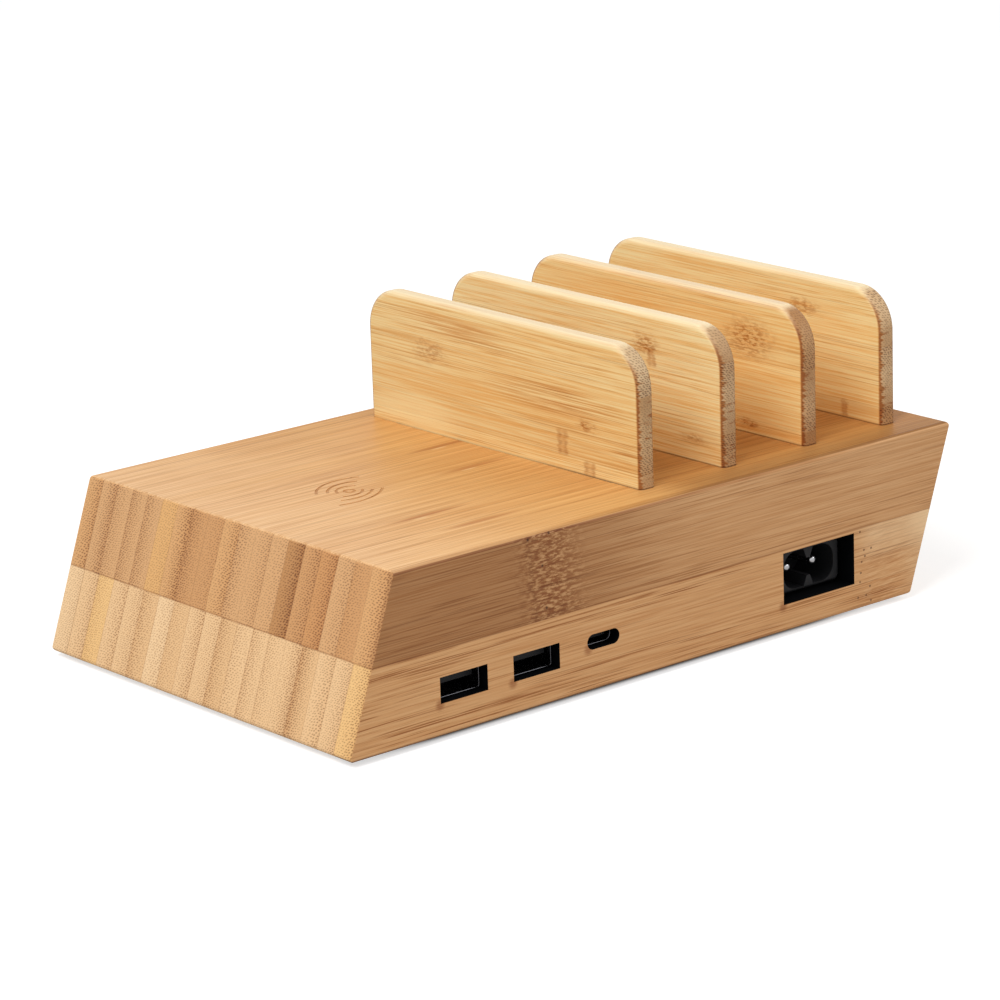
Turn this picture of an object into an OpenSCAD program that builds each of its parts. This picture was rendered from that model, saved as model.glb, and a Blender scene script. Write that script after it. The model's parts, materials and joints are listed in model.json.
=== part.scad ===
// Charging station organizer: two glued bamboo blocks with a charging pad, four dividers and a port side
// X runs from the pad end to the divider end, the ports face -Y, and Z is up from the surface it stands on

/* [Body] */
// Length of the flat top from end to end
body_l = 172; // [166:1:220]
// Width from the port side to the far side
body_w = 114; // [110:1:150]
// Height of the lower block
lower_h = 20; // [20:0.5:28]
// Height of the upper block
upper_h = 20.4; // [18:0.2:30]
// How far the top is set over towards the divider end
slant = 14.2; // [8:0.2:18]
// Rounding of the outer edges
edge_r = 1; // [0.4:0.1:1.6]
// Thickness of the long side walls
side_wall = 7; // [6:0.5:8]
// Least thickness of the end walls
end_wall = 9; // [8:0.5:10]

/* [Dividers] */
// First plate's pad side to the divider end of the top
divider_start = 92.5; // [88:0.5:98]
// Distance from one plate to the next
divider_pitch = 26; // [20:0.5:27]
// Thickness of a plate
divider_t = 4.6; // [3:0.1:6]
// Width of a plate across the body
divider_w = 98.8; // [80:0.2:100]
// Height of a plate above the top
divider_h = 33; // [20:1:60]
// Port side of the body to the plates
divider_inset = 8.6; // [6:0.2:9]
// Radius of a plate's upper corners
divider_corner_r = 10; // [4:0.5:16]
// Rounding of a plate's edges
divider_edge_r = 1; // [0.4:0.1:1.4]
// Depth of the tenon below the top
tenon_depth = 5; // [3:0.5:6]
// Shoulder at each end of a tenon
tenon_shoulder = 8; // [4:0.5:12]
// Clearance round a tenon and below it
tenon_gap = 0.1; // [0.05:0.05:0.3]

/* [Charging pad] */
// Pad end of the top to the middle of the coil
coil_from_end = 33.2; // [33:0.2:40]
// Wood left above the coil
pad_skin = 3; // [2:0.2:4]
// Radius of the coil's first turn
coil_inner_r = 10.5; // [9:0.5:12]
// Number of turns
coil_turns = 10; // [6:1:11]
// Distance from one turn to the next
coil_pitch = 1.35; // [1.32:0.01:1.4]
// Diameter of the wire
coil_wire_d = 0.9; // [0.6:0.05:0.9]
// Radius of the ferrite disc
ferrite_r = 26; // [25.5:0.5:26.5]
// Thickness of the ferrite disc
ferrite_t = 1.2; // [0.8:0.1:2]
// Thickness of the tray's floor
tray_t = 1.6; // [1.2:0.1:2.4]
// Thickness of the tray's rim
tray_rim_t = 2.1; // [1.2:0.1:2.4]

/* [Ports] */
// Pad end of the underside to the first USB-A port
usb_a_from_end = 32.5; // [31:0.5:36]
// Distance from the first USB-A port to the second
usb_a_pitch = 21.1; // [18:0.1:22]
// Second USB-A port to the USB-C port
usb_c_pitch = 19.9; // [17:0.1:22]
// Underside to the middle of the USB-A ports
usb_a_height = 10.65; // [10.2:0.05:12]
// Underside to the middle of the USB-C port
usb_c_height = 11.5; // [11:0.1:13]
// Clearance of a cut-out beside a USB shell
port_gap_x = 0.25; // [0.15:0.05:0.4]
// Clearance of the USB-C cut-out beside its shell
usb_c_gap_x = 0.38; // [0.2:0.02:0.6]
// Clearance of a cut-out above and below a USB shell
port_gap_z = 0.17; // [0.1:0.01:0.3]
// Depth of the USB shells' faces behind the wood
port_setback = 2.6; // [1:0.1:3.5]

/* [Mains inlet] */
// Divider end of the underside to the middle of the inlet
inlet_from_end = 30.35; // [29:0.05:34]
// Underside to the middle of the inlet
inlet_height = 12.95; // [12.9:0.05:13.2]
// Width of the cut-out
inlet_cut_w = 23.3; // [22:0.1:25]
// Height of the cut-out
inlet_cut_h = 12.6; // [12:0.1:12.8]
// Width of the moulded housing
inlet_w = 20.2; // [19:0.1:21]
// Height of the moulded housing
inlet_h = 10.6; // [10.4:0.1:11]
// Depth of the housing's face behind the wood
inlet_setback = 3.65; // [2:0.05:4.5]
// Depth of the socket in the housing
inlet_socket_depth = 11.5; // [11:0.5:13]
// Depth of the pin tips behind the housing's face
pin_recess = 2.45; // [2:0.05:3.5]

/* [Base] */
// Thickness of the base plate
plate_t = 2.4; // [2:0.1:3]
// Ledge that the base plate seats on
plate_ledge = 3.5; // [2.5:0.5:4]
// Clearance round the base plate
plate_gap = 0.2; // [0.1:0.05:0.4]
// Radius of a foot
foot_r = 5; // [4:0.5:7]
// Thickness of a foot below the underside
foot_proud = 1.2; // [0.8:0.1:3]
// Depth of a foot's seat in the base plate
foot_seat = 0.8; // [0.4:0.1:1]
// Corner of the base plate to a foot's middle, each way
foot_inset = 11; // [8:0.5:16]
// Height of the posts that carry the boards
boss_h = 4; // [3:0.5:5]

/* [Boards] */
// Thickness of the circuit boards
board_t = 1.6; // [1:0.1:2]
// Length of the mains board along the body
mains_l = 58; // [58:1:60]
// Width of the mains board across the body
mains_w = 64; // [64:1:66]
// Length of the charger board along the body
charger_l = 44; // [44:1:48]
// Width of the charger board across the body
charger_w = 40; // [38:1:42]
// Width of the port board across the body
port_board_w = 18; // [17.5:0.1:18.5]

/* [Hidden] */
$fn = 48;

// A cut runs this far past the face that it opens
past = 1;

// Levels, from the surface that the feet stand on
body_h = lower_h + upper_h;
floor_z = foot_proud;
seam_z = floor_z + lower_h;
top_z = floor_z + body_h;
plate_top_z = floor_z + plate_t;
boss_top_z = plate_top_z + boss_h;
board_top_z = boss_top_z + board_t;

// Ends and faces of the blocks
end_x = -(body_l + slant) / 2;
far_x = end_x + body_l;
front_y = -body_w / 2;

// The cavity of the lower block
cavity_x0 = end_x + slant * lower_h / body_h + end_wall;
cavity_x1 = far_x - end_wall;
cavity_y = body_w / 2 - side_wall;
cavity_corner_r = 3;
inner_front_y = -cavity_y;

// USB-A receptacle
usb_shell_t = 0.3;
usb_a_w = 13.1;
usb_a_h = 5.7;
usb_a_depth = 14;
usb_a_shell_r = 0.5;
usb_a_tongue_w = 11.1;
usb_a_tongue_t = 1.84;
usb_a_tongue_drop = 0.65;
usb_a_tongue_recess = 1.4;
usb_a_block_depth = 4.2;
usb_a_contact_w = 1;
usb_a_contact_t = 0.2;
usb_a_contact_at = [-3.5, -1, 1, 3.5];
usb_a_tail_w = 0.6;
usb_a_tail_t = 0.3;
tail_hole_r = 0.6;
tail_length = 0.6;
insert_gap = 0.05;
leg_w = 1.6;
usb_a_leg_from_face = 9;
usb_a_1_x = end_x + usb_a_from_end;
usb_a_2_x = usb_a_1_x + usb_a_pitch;
usb_face_y = front_y + port_setback;
usb_a_back_y = usb_face_y + usb_a_depth;
usb_a_z = floor_z + usb_a_height;
usb_a_tongue_z = usb_a_z + usb_a_h / 2 - usb_shell_t - usb_a_tongue_drop - usb_a_tongue_t;

// USB-C receptacle
usb_c_w = 8.94;
usb_c_h = 3.26;
usb_c_depth = 7.35;
usb_c_tongue_w = 6.7;
usb_c_tongue_t = 0.7;
usb_c_tongue_recess = 0.9;
usb_c_block_depth = 1.6;
usb_c_base_depth = 1.8;
usb_c_contact_w = 0.25;
usb_c_contact_t = 0.06;
usb_c_contact_l = 3.4;
usb_c_contact_pitch = 0.5;
usb_c_contact_count = 12;
usb_c_leg_from_back = 1.9;
usb_c_leg_w = 1.2;
usb_c_x = usb_a_2_x + usb_c_pitch;
usb_c_back_y = usb_face_y + usb_c_depth;
usb_c_z = floor_z + usb_c_height;

// Port board, whose top carries the USB-A shells
port_top_z = usb_a_z - usb_a_h / 2;
port_board_z = port_top_z - board_t;
port_board_before = 8.5;
port_board_beyond = 10;
port_board_gap = 0.3;
port_board_x0 = usb_a_1_x - port_board_before;
port_board_x1 = usb_c_x + port_board_beyond;
port_board_y0 = inner_front_y + port_board_gap;
port_board_y1 = port_board_y0 + port_board_w;
port_parts_in = 4;
port_parts_y = port_board_y1 - port_parts_in;
port_screw_in = 2.9;
port_screw_at = [
    [port_board_x0 + port_screw_in, port_board_y1 - port_screw_in],
    [port_board_x1 - port_screw_in, port_board_y1 - port_screw_in],
    [port_board_x1 - port_screw_in, port_board_y0 + port_screw_in]
];
leg_slot_w = 1;
inductor_w = 6.6;
inductor_h = 3;
inductor_r = 1;
port_chip_w = 5;
port_chip_h = 1;
port_capacitor_r = 2.6;
port_capacitor_h = 6;
port_capacitor_before_c = 6.5;
port_capacitor_x = usb_c_x - port_capacitor_before_c;
port_lead_from_c = [-0.5, 3];
port_lead_at = [for (at = port_lead_from_c) usb_c_x + at];

// Figure-8 inlet
inlet_x = far_x - inlet_from_end;
inlet_z = floor_z + inlet_height;
inlet_face_y = front_y + inlet_setback;
inlet_r = 1.6;
inlet_depth = 16;
inlet_back_y = inlet_face_y + inlet_depth;
socket_end_y = inlet_face_y + inlet_socket_depth;
flange_w = 33;
flange_h = 13.4;
flange_t = 2;
flange_screw_x = 14.1;
socket_w = 16.4;
socket_h = 9.2;
socket_r = 3.9;
notch_depth = 2.45;
notch_tip_w = 1.1;
notch_root_w = 3.1;
pin_pitch = 8.6;
pin_r = 1.18;
pin_collar_r = 1.5;
pin_ease = pin_collar_r - pin_r;
pin_root = 0.6;
tab_w = 2.4;
tab_t = 0.8;
tab_length = 5;
tab_end_y = inlet_back_y + tab_length;

// Posts that take the screws of the base plate
post_r = 5.5;
post_in = 4.5;
post_y = 25;
post_mid_x = (port_board_x1 + inlet_x - flange_w / 2) / 2;
post_spots = [
    [cavity_x0 + post_in, -post_y, 180], [cavity_x0 + post_in, post_y, 180],
    [cavity_x1 - post_in, -post_y, 0], [cavity_x1 - post_in, post_y, 0],
    [post_mid_x, -(cavity_y - post_in), -90], [post_mid_x, cavity_y - post_in, 90]
];

// Screws
base_screw = [1.3, 13, 2.9, 1.7];
board_screw = [1.1, 5.4, 2.2, 1.5];
tray_screw = [1, 5.2, 1.9, 1.2];
inlet_screw = [1.1, 6.4, 2, 1.4];
screw_bite = 0.05;
screw_pass = 0.3;
screw_tip_room = 0.5;
cross_l = 3.6;
cross_w = 0.9;
cross_depth = 0.9;
boss_wall = 1.7;

// Feet
foot_gap = 0.1;
foot_ease = 0.5;
plate_x = (cavity_x1 - cavity_x0) / 2 + plate_ledge;
plate_y = cavity_y + plate_ledge;
plate_mid_x = (cavity_x0 + cavity_x1) / 2;
plate_r = 4;

// Mains board and the sizes of what it carries
mains_edge_x = 12;
mains_edge_y = 13;
mains_x0 = cavity_x1 - mains_edge_x - mains_l;
mains_y0 = cavity_y - mains_edge_y - mains_w;
board_screw_in = 3.5;
fuse_r = 2.5;
fuse_l = 10;
fuse_cap_l = 2;
fuse_cap_t = 0.3;
filter_capacitor_size = [8.5, 18, 14.5];
filter_capacitor_r = 0.8;
choke_r = 9.2;
choke_hole_r = 4.4;
choke_h = 7;
choke_wire_t = 1.1;
choke_arc = 110;
choke_out_r = choke_r + choke_wire_t;
bridge_size = [15, 3.6, 11];
storage_r = 8;
storage_l = 24;
can_groove_r = 0.6;
can_groove_from = 2.5;
core_w = 22;
core_h = 16;
core_t = 6;
core_leg = 3;
core_mid = 5.5;
winding_y = 17;
winding_r = 2;
winding_gap = 0.2;
bobbin_base_h = 1.5;
bobbin_base = [20, 19];
bobbin_neck_in = 0.6;
heat_sink_w = 24;
heat_sink_t = 2.5;
heat_sink_h = 17;
fin_count = 7;
fin_t = 1.2;
fin_l = 6;
transistor_size = [10, 4.4, 9.5];
transistor_tab_t = 1.3;
transistor_tab_h = 15.5;
transistor_leg_w = 0.8;
transistor_leg_pitch = 2.54;
output_capacitor_r = 4;
output_capacitor_h = 15;

// Places on the mains board, from its corner nearest the pad and the ports
// Across the body the choke, the transformer and the heat sink share the free width in equal gaps
// Along it the output capacitors, the core and the storage capacitor share the free length
mains_gap_y = (mains_w - 2 * choke_out_r - bobbin_base[1] - transistor_size[1] - heat_sink_t - fin_l) / 4;
mains_gap_x = (mains_l - 2 * output_capacitor_r - core_w - 2 * storage_r) / 4;
choke_from_edge = 13.2;
choke_at = [choke_from_edge, mains_gap_y + choke_out_r];
filter_capacitor_gap = 0.8;
filter_capacitor_x0 = choke_from_edge + choke_r + filter_capacitor_gap;
filter_capacitor_at = [filter_capacitor_x0 + filter_capacitor_size[0] / 2, choke_at[1]];
transformer_y = 2 * mains_gap_y + 2 * choke_out_r + bobbin_base[1] / 2;
transformer_at = [2 * mains_gap_x + 2 * output_capacitor_r + core_w / 2, transformer_y];
heat_sink_at = [transformer_at[0], mains_w - mains_gap_y - fin_l - heat_sink_t];
storage_shift = 1;
storage_at = [mains_l - mains_gap_x - storage_r, transformer_y + storage_shift];
output_capacitor_shift = [1, 10.5];
output_capacitor_at = [
    for (dy = output_capacitor_shift) [mains_gap_x + output_capacitor_r, transformer_y + dy]
];
fuse_at = [mains_l - 12, 9.5];
bridge_at = [mains_l - 11.5, 17];
inlet_lead_at = [[mains_l - 15.5, 3], [mains_l - 9, 3]];
port_lead_from = [[2.5, 24.5], [2.5, 28.5]];
charger_lead_from = [[2.5, mains_w - 12], [2.5, mains_w - 8.5]];

// Pocket of the upper block over the mains board
power_pocket_h = 8;
power_pocket_edge = 2;
power_pocket_r = 6;

// Coil under the pad
coil_x = end_x + slant + coil_from_end;
coil_outer_r = coil_inner_r + coil_turns * coil_pitch;
coil_ceiling_z = top_z - pad_skin;
coil_head = 0.35;
coil_rest = 0.1;
coil_z = coil_ceiling_z - coil_head - coil_wire_d / 2;
ferrite_top_z = coil_z - coil_wire_d / 2 - coil_rest;
tray_floor_z = ferrite_top_z - ferrite_t;
ferrite_gap = 0.3;
tray_r = ferrite_r + ferrite_gap + tray_rim_t;
tray_rim_h = ferrite_t + coil_wire_d + coil_rest;
tray_gap = 0.5;
ear_r = 4.2;
ear_out = 2.1;
ear_at = tray_r + ear_out;
ear_angles = [90, 210, 330];
lead_hole_r = coil_wire_d / 2 + 0.6;
coil_steps = 24;
coil_bend = 1.2;

// Charger board, under the coil
charger_shift = 5;
charger_x0 = coil_x + charger_shift - charger_l / 2;
charger_y0 = -charger_w / 2;
charger_chip_at = [24, 11];
charger_chip_size = [7, 7, 1];
charger_inductor_at = [11, 11];
charger_inductor_size = [10, 10, 4];
charger_inductor_r = 1.5;
tuning_size = [6, 5, 6];
tuning_at = [12.5, 33];
tuning_pitch = 7;
tuning_count = 4;
charger_lead_at = [[41.5, 30], [41.5, 26.5]];

// Leads
lead_r = 0.8;
lead_rings = 14;
lead_sides = 8;
lead_straight = 0.6;
lead_rise = 8.5;
inlet_lead_run = 5;
inlet_lead_drop = 3;

// Colours
upper_wood = "#a8794f";
lower_wood = "#c29464";
divider_wood = "#d9ae79";
black_plastic = "#1b1b1c";
dark_metal = "#3a3a3d";
bright_metal = "#c9cacc";
gold = "#c9a24a";
board_green = "#24573a";
chip_grey = "#2c2c30";

// Plane shapes

module rounded_rect(x, y, r) {
    square([x - 2 * r, y], center = true);
    square([x, y - 2 * r], center = true);
    for (sx = [-1, 1], sy = [-1, 1])
        translate([sx * (x / 2 - r), sy * (y / 2 - r)]) circle(r);
}

module slot_shape(l, w) {
    square([l - w, w], center = true);
    for (s = [-1, 1])
        translate([s * (l - w) / 2, 0]) circle(w / 2);
}

// A corner with its rounding: the points where the arc starts and ends, then its centre
function rounded_corner(p, before, after, r) =
    let (
        u = (before - p) / norm(before - p),
        v = (after - p) / norm(after - p),
        half = acos(u * v) / 2
    )
    [p + u * r / tan(half), p + v * r / tan(half), p + (u + v) / norm(u + v) * r / sin(half)];

module rounded_outline(points, r) {
    n = len(points);
    corners = [
        for (i = [0:n - 1]) rounded_corner(points[i], points[(i + n - 1) % n], points[(i + 1) % n], r)
    ];
    polygon([for (c = corners) each [c[0], c[1]]]);
    for (c = corners)
        translate(c[2]) circle(r);
}

// Extrusions along an axis from one level to another

module along_x(x0, x1) {
    translate([x0, 0, 0]) rotate([90, 0, 90]) linear_extrude(x1 - x0) children();
}

module along_y(y0, y1) {
    translate([0, y1, 0]) rotate([90, 0, 0]) linear_extrude(y1 - y0) children();
}

module along_z(z0, z1) {
    translate([0, 0, z0]) linear_extrude(z1 - z0) children();
}

module post(r, z0, z1) {
    translate([0, 0, z0]) cylinder(r = r, h = z1 - z0);
}

// A box by its low corner and its high corner
module span_box(low, high) {
    translate(low) cube(high - low);
}

// A box that stands on a level, by its middle in plan
module standing_box(at, size, z) {
    translate([at[0] - size[0] / 2, at[1] - size[1] / 2, z]) cube(size);
}

// Round tubes along a line of points

function tangents(path) = [
    for (i = [0:len(path) - 1])
        let (d = path[min(i + 1, len(path) - 1)] - path[max(i - 1, 0)]) d / norm(d)
];

function square_to(v, t) = let (w = v - (v * t) * t) w / norm(w);

// Each ring's first direction, carried on from the ring before without a twist
function carried(t, first) = [
    for (i = 0, n = square_to(first, t[0]); i < len(t);
        i = i + 1, n = i < len(t) ? square_to(n, t[i]) : n) n
];

module tube(path, r, sides, first) {
    t = tangents(path);
    n = carried(t, first);
    rings = len(path);
    points = [
        for (i = [0:rings - 1], k = [0:sides - 1])
            path[i] + r * (cos(360 * k / sides) * n[i] + sin(360 * k / sides) * cross(t[i], n[i]))
    ];
    walls = [
        for (i = [0:rings - 2], k = [0:sides - 1])
            let (a = i * sides + k, b = i * sides + (k + 1) % sides)
            each [[a, a + sides, b], [b, a + sides, b + sides]]
    ];
    caps = [
        for (k = [1:sides - 2]) each [
            [0, k, k + 1],
            [(rings - 1) * sides, (rings - 1) * sides + k + 1, (rings - 1) * sides + k]
        ]
    ];
    polyhedron(points, concat(walls, caps));
}

function bezier(a, b, c, d, steps) = [
    for (i = [0:steps])
        let (t = i / steps, s = 1 - t)
        s * s * s * a + 3 * s * s * t * b + 3 * s * t * t * c + t * t * t * d
];

// A lead from one point to another, which leaves straight along out and comes down straight along -down
module lead(from, out, to, down) {
    a = from + lead_straight * out / norm(out);
    b = to + lead_straight * down / norm(down);
    tube(concat([from], bezier(a, a + out, b + down, b, lead_rings), [to]), lead_r, lead_sides, [1, 0, 0]);
}

// A lead that rises from one pad and comes down on another
module arched_lead(from, to) {
    lead(from, [0, 0, lead_rise], to, [0, 0, lead_rise]);
}

// Screws: radius and length of the shank, radius and height of the head, drawn with the head down

module head_cross() {
    for (a = [0, 90])
        rotate([0, 0, a])
            translate([-cross_l / 2, -cross_w / 2, -past]) cube([cross_l, cross_w, cross_depth + past]);
}

module sunk_screw(screw) {
    difference() {
        union() {
            cylinder(r1 = screw[2], r2 = screw[0], h = screw[3]);
            post(screw[0], 0, screw[1]);
        }
        head_cross();
    }
}

module pan_screw(screw) {
    translate([0, 0, -screw[3]]) cylinder(r = screw[2], h = screw[3]);
    post(screw[0], -screw[3] / 2, screw[1]);
}

// The bamboo blocks

module block_blank() {
    intersection() {
        along_y(front_y - past, past - front_y)
            rounded_outline([
                [end_x, floor_z], [far_x, floor_z], [far_x + slant, top_z], [end_x + slant, top_z]
            ], edge_r);
        along_x(end_x - past, far_x + slant + past)
            translate([0, floor_z + body_h / 2]) rounded_rect(body_w, body_h, edge_r);
    }
}

module divider_plan() {
    translate([divider_t / 2, divider_inset - body_w / 2 + divider_w / 2]) rotate(90)
        children();
}

module divider_place(i) {
    translate([far_x + slant - divider_start + i * divider_pitch, 0, 0]) children();
}

module coil_pocket() {
    translate([coil_x, 0, 0]) {
        post(tray_r + tray_gap, seam_z - past, coil_ceiling_z);
        for (a = ear_angles)
            rotate([0, 0, a]) {
                translate([ear_at, 0, 0]) post(ear_r + tray_gap, seam_z - past, tray_floor_z);
                translate([ear_at, 0, 0])
                    post(tray_screw[0] + screw_bite, tray_floor_z - past,
                        tray_floor_z - tray_t + tray_screw[1] + screw_tip_room);
            }
    }
}

module power_pocket() {
    translate([mains_x0 + mains_l / 2, mains_y0 + mains_w / 2, 0])
        along_z(seam_z - past, seam_z + power_pocket_h)
            rounded_rect(mains_l + 2 * power_pocket_edge, mains_w + 2 * power_pocket_edge, power_pocket_r);
}

module upper_block() {
    color(upper_wood) difference() {
        intersection() {
            block_blank();
            span_box([end_x - past, front_y - past, seam_z],
                [far_x + slant + past, past - front_y, top_z + past]);
        }
        for (i = [0:3])
            divider_place(i)
                along_z(top_z - tenon_depth - tenon_gap, top_z + past)
                    divider_plan()
                        slot_shape(divider_w - 2 * tenon_shoulder + 2 * tenon_gap, divider_t + 2 * tenon_gap);
        coil_pocket();
        power_pocket();
    }
}

module cavity_plan() {
    difference() {
        translate([plate_mid_x, 0])
            rounded_rect(cavity_x1 - cavity_x0, 2 * cavity_y, cavity_corner_r);
        for (p = post_spots)
            translate([p[0], p[1]]) {
                circle(post_r);
                rotate(p[2]) translate([0, -post_r]) square([post_in + past, 2 * post_r]);
            }
    }
}

module usb_a_cutout(x) {
    translate([x, 0, usb_a_z])
        along_y(front_y - past, inner_front_y + past)
            square([usb_a_w + 2 * port_gap_x, usb_a_h + 2 * port_gap_z], center = true);
}

module usb_c_cutout() {
    translate([usb_c_x, 0, usb_c_z])
        along_y(front_y - past, inner_front_y + past)
            slot_shape(usb_c_w + 2 * usb_c_gap_x, usb_c_h + 2 * port_gap_z);
}

module inlet_cutout() {
    translate([inlet_x, 0, inlet_z])
        along_y(front_y - past, inner_front_y + past)
            square([inlet_cut_w, inlet_cut_h], center = true);
}

module flange_spots() {
    for (s = [-1, 1])
        translate([inlet_x + s * flange_screw_x, inner_front_y + flange_t, inlet_z])
            rotate([90, 0, 0]) children();
}

module lower_block() {
    color(lower_wood) difference() {
        intersection() {
            block_blank();
            span_box([end_x - past, front_y - past, floor_z - past],
                [far_x + slant + past, past - front_y, seam_z]);
        }
        along_z(floor_z - past, seam_z + past) cavity_plan();
        translate([plate_mid_x, 0, 0])
            along_z(floor_z - past, plate_top_z) rounded_rect(2 * plate_x, 2 * plate_y, plate_r);
        usb_a_cutout(usb_a_1_x);
        usb_a_cutout(usb_a_2_x);
        usb_c_cutout();
        inlet_cutout();
        flange_spots() post(inlet_screw[0] + screw_bite, 0, inlet_screw[1] + screw_tip_room);
        for (p = post_spots)
            translate([p[0], p[1], 0])
                post(base_screw[0] + screw_bite,
                    plate_top_z - past, floor_z + base_screw[1] + screw_tip_room);
    }
}

// A divider plate, rounded at its top and side edges, on a tenon

// Across the plate's thickness, with the rounded edge at the far end
module plate_section(l) {
    translate([divider_edge_r, 0]) square([divider_t - 2 * divider_edge_r, l]);
    square([divider_t, l - divider_edge_r]);
    for (x = [divider_edge_r, divider_t - divider_edge_r])
        translate([x, l - divider_edge_r]) circle(divider_edge_r);
}

module divider_plate() {
    y0 = divider_inset - body_w / 2;
    y1 = y0 + divider_w;
    r = divider_corner_r;
    h = divider_h;
    translate([0, 0, top_z]) {
        along_y(y0 + r, y1 - r) plate_section(h);
        for (side = [0, 1])
            translate([0, side * (y0 + y1), 0]) mirror([0, side, 0]) translate([0, y0, 0]) {
                along_z(0, h - r) translate([0, r]) mirror([0, 1]) plate_section(r);
                translate([0, r, h - r]) rotate([0, -90, 180]) corner_disc(r);
            }
    }
    along_z(top_z - tenon_depth, top_z + past)
        divider_plan() slot_shape(divider_w - 2 * tenon_shoulder, divider_t);
}

// A quarter of a disc with a rounded rim, its axis along the plate's thickness
module corner_disc(r) {
    rotate_extrude(angle = 90) mirror([1, -1]) plate_section(r);
}

module divider(i) {
    color(divider_wood) divider_place(i) divider_plate();
}

// Base plate, its screws and feet

module board_posts(spots, level, screw) {
    for (p = spots)
        translate([p[0], p[1], 0]) post(screw[0] + boss_wall, plate_top_z - past, level);
}

mains_screw_at = [
    for (x = [board_screw_in, mains_l - board_screw_in], y = [board_screw_in, mains_w - board_screw_in])
        [mains_x0 + x, mains_y0 + y]
];
charger_screw_at = [
    for (x = [board_screw_in, charger_l - board_screw_in], y = [board_screw_in, charger_w - board_screw_in])
        [charger_x0 + x, charger_y0 + y]
];
foot_spots = [
    for (sx = [-1, 1], sy = [-1, 1])
        [plate_mid_x + sx * (plate_x - foot_inset), sy * (plate_y - foot_inset)]
];

module base_plate() {
    color(black_plastic) difference() {
        union() {
            translate([plate_mid_x, 0, 0])
                along_z(floor_z, plate_top_z)
                    rounded_rect(2 * (plate_x - plate_gap), 2 * (plate_y - plate_gap), plate_r - plate_gap);
            board_posts(concat(mains_screw_at, charger_screw_at), boss_top_z, board_screw);
            board_posts(port_screw_at, port_board_z, board_screw);
        }
        for (p = post_spots)
            translate([p[0], p[1], floor_z]) {
                post(base_screw[0] + screw_pass, -past, plate_t + past);
                cylinder(r1 = base_screw[2] + screw_bite, r2 = base_screw[0] + screw_bite,
                    h = base_screw[3]);
                post(base_screw[2] + screw_bite, -past, 0);
            }
        for (p = foot_spots)
            translate([p[0], p[1], floor_z]) post(foot_r + foot_gap, -past, foot_seat);
        for (p = concat(mains_screw_at, charger_screw_at))
            translate([p[0], p[1], 0])
                post(board_screw[0] + screw_bite,
                    board_top_z - board_screw[1] - screw_tip_room, boss_top_z + past);
        for (p = port_screw_at)
            translate([p[0], p[1], 0])
                post(board_screw[0] + screw_bite,
                    port_top_z - board_screw[1] - screw_tip_room, port_board_z + past);
    }
}

module base_screws() {
    color(dark_metal)
        for (p = post_spots)
            translate([p[0], p[1], floor_z]) sunk_screw(base_screw);
}

module rubber_feet() {
    color("#2b2b2b")
        for (p = foot_spots)
            translate([p[0], p[1], 0]) {
                cylinder(r1 = foot_r - foot_ease, r2 = foot_r, h = foot_ease);
                post(foot_r, foot_ease, floor_z + foot_seat);
            }
}

// USB-A receptacle

module usb_a_shell(x) {
    half = (usb_a_w - usb_shell_t) / 2;
    color(dark_metal) translate([x, 0, usb_a_z]) {
        difference() {
            along_y(usb_face_y, usb_a_back_y) rounded_rect(usb_a_w, usb_a_h, usb_a_shell_r);
            along_y(usb_face_y - past, usb_a_back_y + past)
                rounded_rect(usb_a_w - 2 * usb_shell_t, usb_a_h - 2 * usb_shell_t,
                    usb_a_shell_r - usb_shell_t / 2);
        }
        for (s = [-1, 1])
            standing_box([s * half, usb_face_y + usb_a_leg_from_face],
                [usb_shell_t, leg_w, usb_a_h / 2 + board_t + tail_length],
                -usb_a_h / 2 - board_t - tail_length);
    }
}

// One contact: a strip under the tongue and a tail down through the board, with room round it for its slot
module usb_a_contact(x, gap) {
    w = usb_a_contact_w / 2 + gap;
    span_box(
        [x - w, usb_face_y + usb_a_tongue_recess + usb_a_tail_w, usb_a_tongue_z - usb_a_contact_t - gap],
        [x + w, usb_a_back_y + usb_a_tail_t, usb_a_tongue_z]);
    span_box([x - usb_a_tail_w / 2, usb_a_back_y, port_board_z - tail_length],
        [x + usb_a_tail_w / 2, usb_a_back_y + usb_a_tail_t, usb_a_tongue_z]);
}

module usb_a_insert(x) {
    inner_w = usb_a_w - 2 * usb_shell_t - 2 * insert_gap;
    inner_h = usb_a_h - 2 * usb_shell_t - 2 * insert_gap;
    color(black_plastic) difference() {
        union() {
            translate([x, 0, usb_a_z])
                along_y(usb_a_back_y - usb_a_block_depth, usb_a_back_y)
                    rounded_rect(inner_w, inner_h, usb_a_shell_r - usb_shell_t / 2);
            span_box([x - usb_a_tongue_w / 2, usb_face_y + usb_a_tongue_recess, usb_a_tongue_z],
                [x + usb_a_tongue_w / 2, usb_a_back_y - usb_a_block_depth + past,
                    usb_a_tongue_z + usb_a_tongue_t]);
        }
        for (at = usb_a_contact_at)
            usb_a_contact(x + at, insert_gap);
    }
}

module usb_a_contacts(x) {
    color(gold)
        for (at = usb_a_contact_at)
            usb_a_contact(x + at, 0);
}

// USB-C receptacle

module usb_c_shell() {
    leg_y = usb_c_back_y - usb_c_leg_from_back;
    leg_foot = usb_c_z - port_board_z + tail_length;
    color(dark_metal) translate([usb_c_x, 0, usb_c_z]) {
        difference() {
            along_y(usb_face_y, usb_c_back_y) slot_shape(usb_c_w, usb_c_h);
            along_y(usb_face_y - past, usb_c_back_y + past)
                slot_shape(usb_c_w - 2 * usb_shell_t, usb_c_h - 2 * usb_shell_t);
        }
        for (s = [-1, 1])
            standing_box([s * (usb_c_w - usb_shell_t) / 2, leg_y],
                [usb_shell_t, usb_c_leg_w, leg_foot], -leg_foot);
    }
}

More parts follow.
